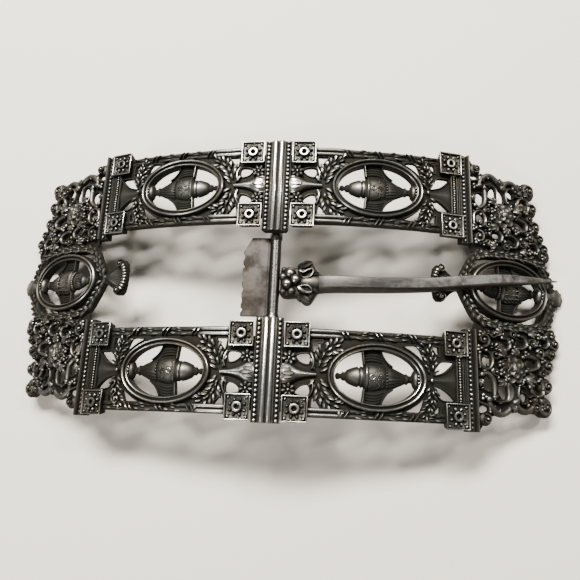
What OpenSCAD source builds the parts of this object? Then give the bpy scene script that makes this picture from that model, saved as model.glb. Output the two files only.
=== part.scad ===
// Openwork belt buckle of cast silver: a frame bent to an arc, with a hinge pin behind its middle
// that carries one moving piece: bar tube, strap plate and tongue.

/* [Frame] */
// Radius of the arc that the face of the frame follows
arc_r = 112.8; // [105:0.1:125]
// Depth of the casting below its face
depth = 2; // [1.8:0.1:2.2]
// Half width of the way for the belt
belt_half = 8.5; // [8.3:0.1:8.7]
// Half length of an oval ring, outside
oval_a = 9.3; // [9.1:0.1:9.5]
// Half width of an oval ring, outside
oval_b = 6.2; // [6.1:0.1:6.4]
// Width of the metal of an oval ring
oval_w = 1.5; // [1.3:0.1:1.7]
// Side of a square block
block_w = 4.7; // [4.4:0.1:4.9]
// Radius of the knob at each end
knob_r = 1.6; // [1.2:0.1:1.6]

/* [Hinge] */
// Radius of the hinge pin
pin_r = 0.6; // [0.5:0.05:0.65]
// Running clearance round the pin
pin_play = 0.05; // [0.03:0.01:0.08]
// Radius of the bar tube that turns on the pin
bar_r = 1.05; // [1:0.05:1.1]

/* [Tongue] */
// Width of the tongue's shank where it leaves the leaf boss
shank_w = 2.4; // [2:0.1:2.8]
// Sideways bend of the tongue from its root to its tip
tip_bend = 4.3; // [0:0.1:5]
// Place along the arc that the tip of the tongue reaches
tip_s = 57.8; // [56:0.1:58.2]
// Length of the strap plate along the bar
plate_len = 15.7; // [14:0.1:16]
// Reach of the strap plate from the middle of the bar
plate_reach = 6.2; // [5.5:0.1:6.4]
// Thickness of the strap plate
plate_t = 0.6; // [0.5:0.1:0.8]

/* [Hidden] */
// Places along the arc (s), across the frame (v) and above its face (h)
panel_v = 18.2;
strip_end = 27.4;
strip_half = 2.6;
inner_block_s = 5.1;
outer_block_s = 34.7;
block_v = 6.6;
side_oval_s = 19.8;
end_oval_s = 47.3;
rail_v = 7;
rail_w = 1.9;
end_rib_s = 38.8;
knob_s = 60;
knob_h = 0.2;
foot_s = 57;
foot_v = 8.6;
foot_r = 1.5;
foot_low = -2.6;
urn_top = 0.6;

// The lowest edge of the feet stands on the surface at z = 0
crown_z = arc_r - (arc_r + foot_low) * cos((foot_s + foot_r) / arc_r * 180 / PI);
axis_z = crown_z - depth - bar_r - 0.25;
lug_in = belt_half + 0.5;
lug_out = lug_in + 2.6;
bar_half = lug_in - 0.2;
collar_r = bar_r + 0.15;
collar_len = 1.4;

// Sections: across from -0.5 to 0.5 of the width, up from 0 at the underside to 1 at the top
wedge = [[-0.5, 0], [0.5, 0], [0, 1]];
flat_top = [[-0.5, 0], [0.5, 0], [0.32, 1], [-0.32, 1]];
ridge = [[-0.5, 0], [0.5, 0], [0.5, 0.6], [0, 1], [-0.5, 0.6]];
round_top = [[-0.5, 0], [0.5, 0], [0.5, 0.6], [0.25, 1], [-0.25, 1], [-0.5, 0.6]];

function degrees_at(s) = s / arc_r * 180 / PI;
function place(s, v, h) = [
    (arc_r + h) * sin(degrees_at(s)), v, (arc_r + h) * cos(degrees_at(s)) - arc_r + crown_z
];
function unit(a) = a / norm(a);
function oval_point(s, a, b, t) = [s + a * cos(t), b * sin(t)];

// Puts children on the face of the frame, with their own z along its normal
module at(s, v, h = 0, turn = 0) {
    translate(place(s, v, h)) rotate([0, degrees_at(s), 0]) rotate(turn) children();
}

// A cast member along rows of s, v, width, top height and, where it isn't the casting's, underside
// Rise lifts the underside, so that where members cross, the deepest one shows behind
module member(rows, section, rise = 0, closed = false) {
    n = len(rows);
    m = len(section);
    spans = closed ? n : n - 1;
    points = [
        for (i = [0 : n - 1])
            let (
                before = closed ? rows[(i + n - 1) % n] : rows[max(i - 1, 0)],
                after = closed ? rows[(i + 1) % n] : rows[min(i + 1, n - 1)],
                along = unit([after[0] - before[0], after[1] - before[1]]),
                low = len(rows[i]) > 4 ? rows[i][4] : rise - depth
            )
                for (q = section)
                    place(
                        rows[i][0] - along[1] * q[0] * rows[i][2],
                        rows[i][1] + along[0] * q[0] * rows[i][2],
                        low + q[1] * (rows[i][3] - low)
                    )
    ];
    sides = [
        for (i = [0 : spans - 1], j = [0 : m - 1])
            let (a = i * m + j, b = i * m + (j + 1) % m, c = (i + 1) % n * m)
                each [[a, c + (j + 1) % m, b], [a, c + j, c + (j + 1) % m]]
    ];
    start_cap = [for (j = [0 : m - 1]) j];
    end_cap = [for (j = [0 : m - 1]) n * m - 1 - j];
    polyhedron(points, closed ? sides : concat(sides, [start_cap, end_cap]));
}

module twice_across() {
    children();
    mirror([0, 1, 0]) children();
}

module oval_ring(s, steps = 14) {
    rows = [
        for (i = [0 : steps - 1])
            let (p = oval_point(s, oval_a - oval_w / 2, oval_b - oval_w / 2, i * 360 / steps))
                [p[0], p[1], oval_w, 0]
    ];
    member(rows, round_top, closed = true);
}

// Lidded urn on its side: rows of distance from the lid's tip, width and top height
urn = [
    [-0.4, 1, -0.5], [1.5, 1, -0.5], [2.4, 2.6, 0.1], [4.6, 3.8, 0.4], [4.8, 4.8, urn_top],
    [9.3, 4.8, 0.4], [10.6, 3.8, 0.2], [13.4, 1.3, -0.5], [14.8, 3.8, -0.2], [15.8, 3.8, -0.2]
];
// Urn handle: rows of distance from the lid's tip, v, width and top height
handle = [[7, 2, 2.6, -0.2], [6, oval_b - 0.8, 2.4, -0.5]];

// Turned is 1 with the lid towards the middle of the frame
module urn_in_oval(s, turned = 1) {
    tip = s - turned * 7.6;
    member([for (r = urn) [tip + turned * r[0], 0, r[1], r[2]]], round_top, rise = 0.4);
    twice_across()
        member([for (r = handle) [tip + turned * r[0], r[1], r[2], r[3]]], flat_top, rise = 0.6);
}

// Square block with a raised border and a ring boss
module block(s, v) {
    edge = 0.45;
    at(s, v) {
        difference() {
            translate([-block_w / 2, -block_w / 2, -depth]) cube([block_w, block_w, depth + 0.25]);
            translate([edge - block_w / 2, edge - block_w / 2, -0.35])
                cube([block_w - 2 * edge, block_w - 2 * edge, 1]);
        }
        difference() {
            translate([0, 0, -1]) cylinder(h = 1.35, r = 1, $fn = 6);
            translate([0, 0, -0.2]) cylinder(h = 1, r = 0.5, $fn = 4);
        }
    }
}

// Ribbon tie that crosses a rail
module tie(s, v) {
    at(s, v, -0.7, 55) hull() {
        translate([-0.85, 0, 0]) cylinder(h = 0.5, r = 0.45, $fn = 3);
        translate([0.85, 0, 0]) cylinder(h = 0.5, r = 0.45, $fn = 3);
    }
}

// Half of a side panel, on one side of its middle line
inner_branch = [[7.6, 0, 1.6, -0.4], [10, 3, 1.8, -0.3], [13.4, 6.6, 1.4, -0.6]];
outer_branch = [[31, 0, 1.6, -0.4], [29.2, 3, 1.8, -0.3], [26.2, 6.6, 1.4, -0.6]];

module side_panel_half() {
    rail = [for (s = [7 : 8.5 : 32.5]) [s, rail_v, rail_w, -0.4]];
    member(rail, flat_top, rise = 0.25);
    for (s = [14, 20, 26.5]) tie(s, rail_v);
    member(inner_branch, flat_top, rise = 0.5);
    member(outer_branch, flat_top, rise = 0.5);
    block(inner_block_s, block_v);
    block(outer_block_s, block_v);
    at(3.3, 3, 0.3 - depth) cylinder(h = depth - 0.7, r = 1.3, $fn = 5);
}

calyx = [[2.2, 3.2, 0], [4.2, 3.2, 0.4], [6.3, 1.7, 0], [8.4, 1.1, -0.4]];
pedestal = [[30.2, 1.2, -0.5], [32.4, 2.8, -0.3], [34.8, 6.6, -0.1], [37.4, 8.2, -0.1]];

module side_panel() {
    translate([0, panel_v, 0]) {
        oval_ring(side_oval_s);
        urn_in_oval(side_oval_s);
        member([for (r = calyx) [r[0], 0, r[1], r[2]]], round_top, rise = 0.35);
        member([for (r = pedestal) [r[0], 0, r[1], r[2]]], flat_top, rise = 0.35);
        twice_across() side_panel_half();
    }
    // Bead band and rib that close the panel towards the end
    length = strip_end - belt_half;
    middle = (strip_end + belt_half) / 2;
    member([for (v = [-0.5, 0.5]) [37.6, middle + v * length, 1.8, -0.3]], flat_top, rise = 0.2);
    member([for (v = [-0.5, 0.5]) [end_rib_s, middle + v * length, 1.2, 0.1]], flat_top);
}

// Rosette of pointed petals round a button
module rosette(s, v) {
    petals = 5;
    at(s, v, -1) {
        linear_extrude(height = 1)
            polygon([
                for (i = [0 : 2 * petals - 1])
                    (i % 2 == 0 ? 2.8 : 2) * [cos(i * 180 / petals), sin(i * 180 / petals)]
            ]);
        translate([0, 0, 0.9]) cylinder(h = 0.5, r1 = 1.1, r2 = 0.7, $fn = petals);
    }
}

// Corner plate of the end panel: outline as rows of s and v, then its lobes, gaps and leaves
corner_mid = [47, 16];
corner_outline = [
    [38.8, 8], [57.8, 6.6], [56.4, 12], [54.6, 14.4], [54.4, 23.4], [48, 24], [44.4, 23.8], [38.8, 26.4]
];
// Rows of s, v and radius
corner_lobes = [
    [41, 25, 1.6], [44.2, 24, 1.5], [48.6, 23.4, 2], [53.4, 22.6, 2.2], [54.2, 18.2, 1.8],
    [55, 14, 1.8], [56.4, 11, 1.6]
];
// Rows of s, v, length along the arc, width and turn
corner_gaps = [
    [40.7, 22.4, 1.6, 0.8, -30], [41.2, 18.3, 1.2, 2.4, 0], [43.9, 19.9, 1, 3, -15],
    [46.4, 20.7, 0.8, 1.8, -30], [49, 20.6, 1.6, 0.9, -30], [51.7, 18, 1.8, 1, 30],
    [41.2, 14.4, 1.2, 1.8, 0], [43.6, 11.8, 1.6, 1, 30], [51.4, 13.4, 2, 1.2, -30], [48, 10.9, 1.4, 0.8, 0]
];
corner_leaves = [
    [[46, 17.4, 2, 0], [42.4, 22.6, 1.2, -0.3]], [[48.6, 17.4, 2, 0], [52.8, 21.4, 1.2, -0.3]],
    [[48.8, 15, 2, 0], [54, 12.4, 1.2, -0.3]], [[45.4, 14.8, 2, 0], [41.2, 10.4, 1.2, -0.3]]
];

module corner_plate() {
    difference() {
        union() {
            at(corner_mid[0], corner_mid[1], 0.3 - depth) linear_extrude(height = depth - 0.9)
                polygon([for (p = corner_outline) p - corner_mid]);
            for (r = corner_lobes)
                at(r[0], r[1], -depth) cylinder(h = depth - 0.4, r = r[2], $fn = 6);
        }
        for (r = corner_gaps)
            at(r[0], r[1], -2 * depth, r[4])
                scale([r[2] / 2, r[3] / 2, 1]) cylinder(h = 3 * depth, r = 1.1, $fn = 5);
    }
    for (rows = corner_leaves) member(rows, wedge, rise = 1);
    rosette(corner_mid[0], corner_mid[1]);
    at(foot_s, foot_v, foot_low) cylinder(h = -foot_low - 0.3, r = foot_r, $fn = 6);
}

// Laurel round the end oval, with its point towards the middle: rows of s, v, width and top height
wreath = [
    [36.3, 0, 2, -0.3], [38, 3.3, 1.8, -0.3], [40.2, 6.2, 2.2, -0.3], [43.6, 7.1, 2.4, -0.3],
    [51.5, 7.2, 2.4, -0.3], [56, 6, 3, -0.3], [57.7, 2.9, 2.6, -0.3], [58, 0, 2.4, -0.3]
];
finial = [
    [36.4, 2.4, -0.3], [33.6, 2.6, -0.2], [31.6, 5.4, -0.3], [30.3, 4.6, -0.4], [29.5, 1.6, -0.6]
];

module end_panel() {
    oval_ring(end_oval_s);
    urn_in_oval(end_oval_s);
    back = [for (i = [len(wreath) - 2 : -1 : 1]) [wreath[i][0], -wreath[i][1], wreath[i][2], wreath[i][3]]];
    member(concat(wreath, back), ridge, rise = 0.1, closed = true);
    member([for (r = finial) [r[0], 0, r[1], r[2]]], flat_top, rise = 0.3);
    twice_across() {
        corner_plate();
        at(31.8, 2.4, -depth) cylinder(h = depth - 0.2, r = 1.3, $fn = 6);
    }
    member([[58, 0, 2, -0.5], [knob_s, 0, 1.6, -0.5]], flat_top, rise = 0.8);
    at(knob_s, 0, knob_h) sphere(r = knob_r, $fn = 8);
}

// Strip across the middle, with two smooth ribs between bands for beads
module centre_strip() {
    half = [
        [strip_half, -depth], [strip_half, -0.3], [1.45, -0.2], [1.15, 0], [0.95, 0.3], [0.35, 0.3], [0, 0]
    ];
    outline = concat(half, [for (i = [len(half) - 2 : -1 : 0]) [-half[i][0], half[i][1]]]);
    translate([0, strip_end, crown_z])
        rotate([90, 0, 0]) linear_extrude(height = strip_end - belt_half) polygon(outline);
}

// Ear behind the strip, bored for the pin
module lug() {
    ear_r = pin_r + 0.6;
    translate([0, lug_out, 0]) rotate([90, 0, 0])
        difference() {
            linear_extrude(height = lug_out - lug_in) {
                translate([0, axis_z]) circle(r = ear_r, $fn = 16);
                translate([-ear_r, axis_z]) square([2 * ear_r, crown_z - depth + 0.3 - axis_z]);
            }
            translate([0, axis_z, -1])
                cylinder(h = lug_out, r = (pin_r + 0.02) / cos(180 / 16), $fn = 16);
        }
}

module frame() {
    color("silver")
        for (x = [0, 1])
            mirror([x, 0, 0]) {
                end_panel();
                twice_across() side_panel();
                if (x == 0) twice_across() {
                    centre_strip();
                    lug();
                }
            }
}

module along_pin(half, r) {
    translate([0, half, axis_z]) rotate([90, 0, 0]) cylinder(h = 2 * half, r = r, $fn = 48);
}

module hinge_pin() {
    color("gray") along_pin(lug_out, pin_r);
}

// Outline of the strap plate, with its slanted corner and the notches of its worn edge
plate_slant = 1.6;
slant_end = 4.5;
plate_notches = [4.1, 2.1, -1.5, -6.3];
module plate_outline() {
    far = plate_len / 2;
    difference() {
        polygon([
            [0, far], [plate_slant - plate_reach, far], [-plate_reach, slant_end], [-plate_reach, -far], [0, -far]
        ]);
        for (y = plate_notches) translate([-plate_reach - 0.1, y]) circle(r = 0.5, $fn = 32);
    }
}

module strap_plate() {
    translate([0, 0, axis_z - plate_t / 2]) linear_extrude(height = plate_t) plate_outline();
}

// Leaf boss between the bar and the shank: a pad with two leaves spread sideways and a bell on it
boss_y = -1.1;
module leaf_boss() {
    half = [[0.9, 2.7], [3.8, 2.5], [4.6, 3.2], [7.4, 3.2], [9, 1.2]];
    mirrored = [for (i = [len(half) - 1 : -1 : 0]) [half[i][0], -half[i][1]]];
    translate([0, boss_y, axis_z]) {
        translate([0, 0, -0.9]) linear_extrude(height = 1.4) {
            polygon(concat(half, mirrored));
            for (y = [-1, 1]) translate([6, 2.6 * y]) circle(r = 1.6, $fn = 32);
        }
        translate([0, 0, 0.2]) rotate([0, 90, 0])
            rotate_extrude($fn = 32)
                polygon([[0, 1.5], [1.2, 1.5], [1.7, 3.4], [2.1, 5.4], [1.8, 7], [1.25, 8.9], [0, 8.9]]);
        for (y = [-1, 1]) {
            translate([6, 2.3 * y, 0.2]) sphere(r = 1.4, $fn = 32);
            translate([2.6, 1.5 * y, 0.5]) sphere(r = 0.9, $fn = 32);
        }
        translate([3.8, 0, 1.6]) sphere(r = 0.9, $fn = 32);
    }
}

// Shank: rows of place from root to tip, bend and width as shares of the whole, top and underside
shank_rows = [
    [0, 0, 1, -1.5, -3.9], [0.09, -0.01, 0.96, -0.5, -2.9], [0.17, -0.03, 0.92, 0.2, -2.1],
    [0.29, -0.02, 0.88, 1, -1], [0.43, 0.07, 0.84, 1.9, 0.15], [0.57, 0.31, 0.8, 2.2, 0.6],
    [0.73, 0.6, 0.7, 2.3, 0.95], [0.86, 0.79, 0.45, 2, 0.95], [1, 1, 0.06, 1.4, 0.95]
];
root_s = 7.6;
keystone = [[-0.5, 0], [0.5, 0], [0.42, 1], [-0.42, 1]];
module shank() {
    rows = [
        for (r = shank_rows)
            [root_s + r[0] * (tip_s - root_s), boss_y + r[1] * tip_bend, r[2] * shank_w, r[3], r[4]]
    ];
    member(rows, keystone);
}

module tongue() {
    color("lightgray") difference() {
        union() {
            along_pin(bar_half, bar_r);
            for (y = [-1, 1]) translate([0, y * (bar_half - collar_len / 2), 0])
                along_pin(collar_len / 2, collar_r);
            strap_plate();
            leaf_boss();
            shank();
        }
        along_pin(lug_out, pin_r + pin_play);
    }
}

frame();
hinge_pin();
tongue();
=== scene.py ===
import random
from math import atan2, cos, exp, hypot, pi, radians, sin, tau

import bmesh
import bpy
from mathutils import Matrix, Vector


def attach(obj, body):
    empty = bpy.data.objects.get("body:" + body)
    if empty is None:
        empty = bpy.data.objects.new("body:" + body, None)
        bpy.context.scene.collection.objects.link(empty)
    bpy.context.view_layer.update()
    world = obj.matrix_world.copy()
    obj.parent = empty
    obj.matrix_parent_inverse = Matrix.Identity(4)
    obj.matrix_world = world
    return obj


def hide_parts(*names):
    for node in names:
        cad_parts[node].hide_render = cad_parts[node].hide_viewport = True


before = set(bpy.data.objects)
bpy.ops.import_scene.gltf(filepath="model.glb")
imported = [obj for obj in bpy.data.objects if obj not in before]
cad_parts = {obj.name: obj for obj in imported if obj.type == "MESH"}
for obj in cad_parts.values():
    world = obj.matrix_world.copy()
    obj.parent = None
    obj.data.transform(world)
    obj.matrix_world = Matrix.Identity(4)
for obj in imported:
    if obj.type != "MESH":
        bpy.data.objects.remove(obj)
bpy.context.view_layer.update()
print("packed solids loaded")

# Ornament is modelled flat in millimetres: s along the buckle, v across it and h above its face.
# Then it is bent onto the arc of the casting and brought to metres.
casting = {
    "arcRadius": 112.8,
    "crown": 17.09,  # top of the arc above the table
    "low": -2.0,  # underside of the casting
    "panelMiddle": 18.2,
    "wayHalf": 8.5,  # half of the belt's way
    "outerEdge": 27.4,
    "sharpAngle": 38,  # edges beyond this many degrees stay crisp
}


def bendOntoArc(bm):
    radius = casting["arcRadius"]
    for vert in bm.verts:
        s, v, h = vert.co
        angle = s / radius
        vert.co.x = (radius + h) * sin(angle)
        vert.co.z = (radius + h) * cos(angle) - radius + casting["crown"]


def pour(source, target):
    mesh = bpy.data.meshes.new("poured")
    source.to_mesh(mesh)
    source.free()
    target.from_mesh(mesh)
    bpy.data.meshes.remove(mesh)


def stamp(target, mesh, place):
    copy = mesh.copy()
    copy.transform(place)
    target.from_mesh(copy)
    bpy.data.meshes.remove(copy)


def placeAt(s, v, h, turn=0.0, size=(1, 1, 1), tilt=0.0):
    turned = Matrix.Rotation(turn, 4, "Z") @ Matrix.Rotation(tilt, 4, "Y")
    return Matrix.Translation((s, v, h)) @ turned @ Matrix.Diagonal((*size, 1))


def polar(s, v, radius, angle):
    return s + radius * cos(angle), v + radius * sin(angle)


# Sweeps: a row is s, v, width, top and low; a profile runs across from -0.5 to 0.5 and up from 0 to 1

def smoothRows(rows, steps, closed=False):
    count = len(rows)
    smooth = []
    for i in range(count if closed else count - 1):
        near = [(i + k) % count if closed else min(max(i + k, 0), count - 1) for k in (-1, 0, 1, 2)]
        a, b, c, d = (Vector(rows[k]) for k in near)
        for j in range(steps):
            t = j / steps
            bend = (2 * a - 5 * b + 4 * c - d) * t ** 2 + (3 * b - a - 3 * c + d) * t ** 3
            smooth.append((2 * b + (c - a) * t + bend) / 2)
    return smooth if closed else smooth + [Vector(rows[-1])]


def rowFrame(rows, i, closed):
    s, v, width, top, low = rows[i]
    last = len(rows) - 1
    before = rows[i - 1] if closed or i > 0 else rows[0]
    after = rows[(i + 1) % len(rows)] if closed or i < last else rows[last]
    along = Vector((after[0] - before[0], after[1] - before[1], 0)).normalized()
    across = Vector((-along.y, along.x, 0)) * max(width, 0.02)
    up = Vector((0, 0, max(top - low, 0.02)))
    return Matrix.Translation((s, v, low)) @ Matrix((along, across, up)).transposed().to_4x4()


def sweep(target, rows, profile, steps=0, closed=False):  # steps smooth the path from row to row
    if steps:
        rows = smoothRows(rows, steps, closed)
    bm = bmesh.new()
    frames = [rowFrame(rows, i, closed) for i in range(len(rows))]
    ring = [bm.verts.new(frames[0] @ Vector((0, a, b))) for a, b in profile]
    edges = [bm.edges.new((ring[i - 1], ring[i])) for i in range(len(ring))]
    first = list(edges)
    for before, after in zip(frames, frames[1:]):
        made = bmesh.ops.extrude_edge_only(bm, edges=edges)["geom"]
        ring = [g for g in made if isinstance(g, bmesh.types.BMVert)]
        fresh = set(ring)
        edges = [g for g in made if isinstance(g, bmesh.types.BMEdge) and fresh.issuperset(g.verts)]
        bmesh.ops.transform(bm, matrix=after @ before.inverted(), verts=ring)
    if closed:
        bmesh.ops.bridge_loops(bm, edges=first + edges)
    else:
        bmesh.ops.edgeloop_fill(bm, edges=first)
        bmesh.ops.edgeloop_fill(bm, edges=edges)
    bmesh.ops.recalc_face_normals(bm, faces=bm.faces[:])
    pour(bm, target)


def ribsAt(parts, steps=6):  # walls, then ribs between two places, each with its foot and top
    points = [(-0.5, 0.0), (0.5, 0.0)]
    for start, end, foot, top in parts:
        touching = len(points) > 2 and abs(points[-1][0] - start) < 0.001
        for j in range(1 if touching else 0, steps + 1):
            angle = pi * j / steps
            across = (start + end) / 2 + (start - end) / 2 * cos(angle)
            points.append((across, foot + (top - foot) * sin(angle)))
    return points


def ribbed(count, foot, steps=5):  # walls up to foot, then half-round ribs side by side
    return ribsAt([(0.5 - i / count, 0.5 - (i + 1) / count, foot, 1) for i in range(count)], steps)


slab = [(-0.5, 0), (0.5, 0), (0.5, 0.86), (0.42, 1), (-0.42, 1), (-0.5, 0.86)]
wire = [(cos(i * tau / 8) / 2, 0.5 + sin(i * tau / 8) / 2) for i in range(8)]
oneRib, twoRibs = ribbed(1, 0.6), ribbed(2, 0.72)
ovalRims = ribsAt([(0.5, 0.26, 0.78, 0.92), (0.06, -0.36, 0.74, 1.0)])


def bar(target, start, end, width, top, low, profile=oneRib):  # straight, from one s and v to another
    sweep(target, [(*start, width, top, low), (*end, width, top, low)], profile)


def stepAlong(rows, spacing):  # equal steps along a path, with the heading at each
    places = []
    left = spacing / 2
    for a, b in zip(rows, rows[1:]):
        step = Vector((b[0] - a[0], b[1] - a[1]))
        while left < step.length:
            t = left / step.length
            places.append((a[0] + step.x * t, a[1] + step.y * t, atan2(step.y, step.x)))
            left += spacing
        left -= step.length
    return places


def ellipse(s, v, length, width, degrees, steps=16):
    turn = radians(degrees)
    points = []
    for i in range(steps):
        angle = i * tau / steps
        x, y = length / 2 * cos(angle), width / 2 * sin(angle)
        points.append((s + x * cos(turn) - y * sin(turn), v + x * sin(turn) + y * cos(turn)))
    return points


def bothSides(half):  # outline from its half on one side of a middle line
    return half + [(s, -v) for s, v in reversed(half)]


# Plates and turned forms

def cutPlate(outline, holes, low, high):  # flat plate with holes through it
    bm = bmesh.new()
    for loop in [outline] + holes:
        verts = [bm.verts.new((x, y, low)) for x, y in loop]
        for i in range(len(verts)):
            bm.edges.new((verts[i - 1], verts[i]))
    bmesh.ops.triangle_fill(bm, use_beauty=True, use_dissolve=False, edges=bm.edges[:])
    made = bmesh.ops.extrude_face_region(bm, geom=bm.faces[:])["geom"]
    raised = [g for g in made if isinstance(g, bmesh.types.BMVert)]
    bmesh.ops.translate(bm, vec=(0, 0, high - low), verts=raised)
    bmesh.ops.recalc_face_normals(bm, faces=bm.faces[:])
    return bm


def quarterTurn(bm, axis):
    bmesh.ops.rotate(bm, cent=(0, 0, 0), matrix=Matrix.Rotation(pi / 2, 3, axis), verts=bm.verts[:])


def cutAcross(plate, places):  # cuts that let a flat plate bend
    for s in places:
        everything = plate.verts[:] + plate.edges[:] + plate.faces[:]
        bmesh.ops.bisect_plane(plate, geom=everything, dist=0.001, plane_co=(s, 0, 0), plane_no=(1, 0, 0))


def roundOver(bm, rings):  # insets of the top, each by its width and rise
    tops = [f for f in bm.faces if f.normal.z > 0.9]
    for thickness, depth in rings:
        bmesh.ops.inset_region(bm, faces=tops, thickness=thickness, depth=depth, use_even_offset=True)


def softenEdges(bm, sharpest, offset, segments):  # bevels what is sharper than an angle
    edges = [e for e in bm.edges if e.calc_face_angle(0) > sharpest]
    bmesh.ops.bevel(bm, geom=edges, offset=offset, segments=segments, profile=0.5, affect="EDGES", material=-1)


def spunAbout(axis, points, steps):
    bm = bmesh.new()
    verts = [bm.verts.new(point) for point in points]
    edges = [bm.edges.new(pair) for pair in zip(verts, verts[1:])]
    bmesh.ops.spin(bm, geom=verts + edges, cent=(0, 0, 0), axis=axis, angle=tau, steps=steps, use_merge=True)
    bmesh.ops.remove_doubles(bm, verts=bm.verts[:], dist=0.0001)
    return bm


def turnedForm(target, rows, s, v, h, steps, lower=0.35, rise=1.0, flutes=(0, 0, 0, 0)):
    # rows of distance along s and radius, spun round; flutes are from, to, how many and how deep
    bm = spunAbout((1, 0, 0), [(x, r, 0) for x, r in rows], steps)
    start, end, count, deep = flutes
    for vert in bm.verts:
        x, y, z = vert.co
        if start < x < end:
            share = sin(pi * (x - start) / (end - start)) ** 0.3
            swell = 1 + deep * share * cos(count * atan2(z, y))
            y, z = y * swell, z * swell
        vert.co = (s + x, v + y, h + z * (rise if z > 0 else lower))
    bmesh.ops.recalc_face_normals(bm, faces=bm.faces[:])
    pour(bm, target)


# Small forms that repeat

def meshOf(name, bm):
    mesh = bpy.data.meshes.new(name)
    bm.to_mesh(mesh)
    bm.free()
    return mesh


def ball(around, rows):
    bm = bmesh.new()
    bmesh.ops.create_uvsphere(bm, u_segments=around, v_segments=rows, radius=1)
    return bm


def leafMesh(groove, point, belly):  # one long from its root at 0, one wide, one high
    bm = ball(10, 7)
    for vert in bm.verts:
        x, y, z = vert.co
        pinch = (1 - point * z ** 2) * (1 + belly * z)
        rise = y * (1 - groove * exp(-(x / 0.3) ** 2)) if y > 0 else 0.35 * y
        vert.co = (0.5 + z / 2, x * pinch / 2, rise * (0.55 + 0.45 * pinch))
    return meshOf("leaf", bm)


def cupMesh():  # petal with a rolled rim
    rows = [(0, 0.16), (0.4, 0.2), (0.66, 0.36), (0.86, 0.5), (1.0, 0.36), (1.0, -0.5)]
    bm = spunAbout((0, 0, 1), [(r, 0, h) for r, h in rows], 12)
    bmesh.ops.edgeloop_fill(bm, edges=[e for e in bm.edges if e.is_boundary])
    bmesh.ops.recalc_face_normals(bm, faces=bm.faces[:])
    return meshOf("cup", bm)


def domeMesh(flutes=9, deep=0.09, twist=0.9):  # gadrooned dome with swirling flutes
    bm = ball(36, 9)
    for vert in bm.verts:
        x, y, z = vert.co
        across = hypot(x, y)
        swell = 1 + deep * cos(flutes * (atan2(y, x) + twist * across)) * across
        vert.co = (x * swell, y * swell, z * swell if z > 0 else 0.6 * z)
    return meshOf("dome", bm)


bead, bigBead = meshOf("bead", ball(8, 6)), meshOf("bigBead", ball(16, 10))
leaf, petal = leafMesh(0.3, 0.4, 0.1), leafMesh(0.0, 0.1, 0.15)
clasp, slitLeaf = leafMesh(0.25, 0.5, 0.3), leafMesh(0.55, 0.45, 0.15)
cup, dome = cupMesh(), domeMesh()


def beadAt(target, s, v, h, length, width=0, height=0):  # round where only its length is given
    stamp(target, bead, placeAt(s, v, h, size=(length, width or length, height or length)))


def beadRow(target, places, radius, h):
    for s, v in places:
        beadAt(target, s, v, h, radius)


def leafAt(target, s, v, h, turn, length, width, height=0.42, tilt=-0.1, mesh=leaf):
    stamp(target, mesh, placeAt(s, v, h, turn, (length, width, height), tilt))


def leafRows(target, rows, spacing, length, width, h, spread, reach, height):  # leaves beside a path
    for i, (s, v, turn) in enumerate(stepAlong(rows, spacing)):
        for side in (-1, 1):
            nudge = 0.16 * sin(2.4 * i + side)
            away = side * width * reach
            root = s - away * sin(turn), v + away * cos(turn)
            lift = 0.1 * sin(3.1 * i + 2 * side)
            heading = turn + side * (spread + nudge)
            leafAt(target, *root, h + lift, heading, length * (1 + nudge / 2), width, height)
        if i % 2:
            leafAt(target, s, v, h + 0.14, turn, length * 0.8, width * 0.8, height)


def flower(target, s, v, h, reach, count, shift, size, tilt):  # size is each petal's length, width and height
    for i in range(count):
        turn = (i + shift) * tau / count
        leafAt(target, *polar(s, v, reach, turn), h, turn, *size, tilt, petal)


def scroll(target, s, v, radius, start, turns, thick, top, low=-1.3):  # winds inwards and gets finer
    steps = max(8, int(abs(turns) * 16))
    rows = []
    for i in range(steps + 1):
        t = i / steps
        place = polar(s, v, radius * (1 - 0.72 * t), start + turns * tau * t)
        rows.append((*place, thick * (1 - 0.4 * t), top + 0.1 * t, low))
    sweep(target, rows, oneRib)
    beadAt(target, s, v, top, max(radius * 0.28, 0.22))


def acanthus(target, s, v, h, turn, length):
    for i in range(3):
        lean = (i - 1) / 3
        leafAt(target, s, v, h, turn + lean * 1.5, length * (1 - 0.6 * abs(lean)), length * 0.4, 0.6)


# Materials: silver gone black in its hollows and rubbed bright where it stands proud, with painted shade on side
# walls and by distance along the buckle

def startMaterial(name):  # the material, its shader and two functions that add to it
    material = bpy.data.materials.new(name)
    material.use_nodes = True
    tree = material.node_tree

    def feed(node, socket, value):  # value is another node's output or a plain value
        if isinstance(value, bpy.types.NodeSocket):
            tree.links.new(value, node.inputs[socket])
        else:
            node.inputs[socket].default_value = value

    def add(kind, inputs, **settings):
        node = tree.nodes.new("ShaderNode" + kind)
        for setting, value in settings.items():
            setattr(node, setting, value)
        for socket, value in inputs.items():
            feed(node, socket, value)
        return node

    return material, tree.nodes["Principled BSDF"], feed, add


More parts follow.
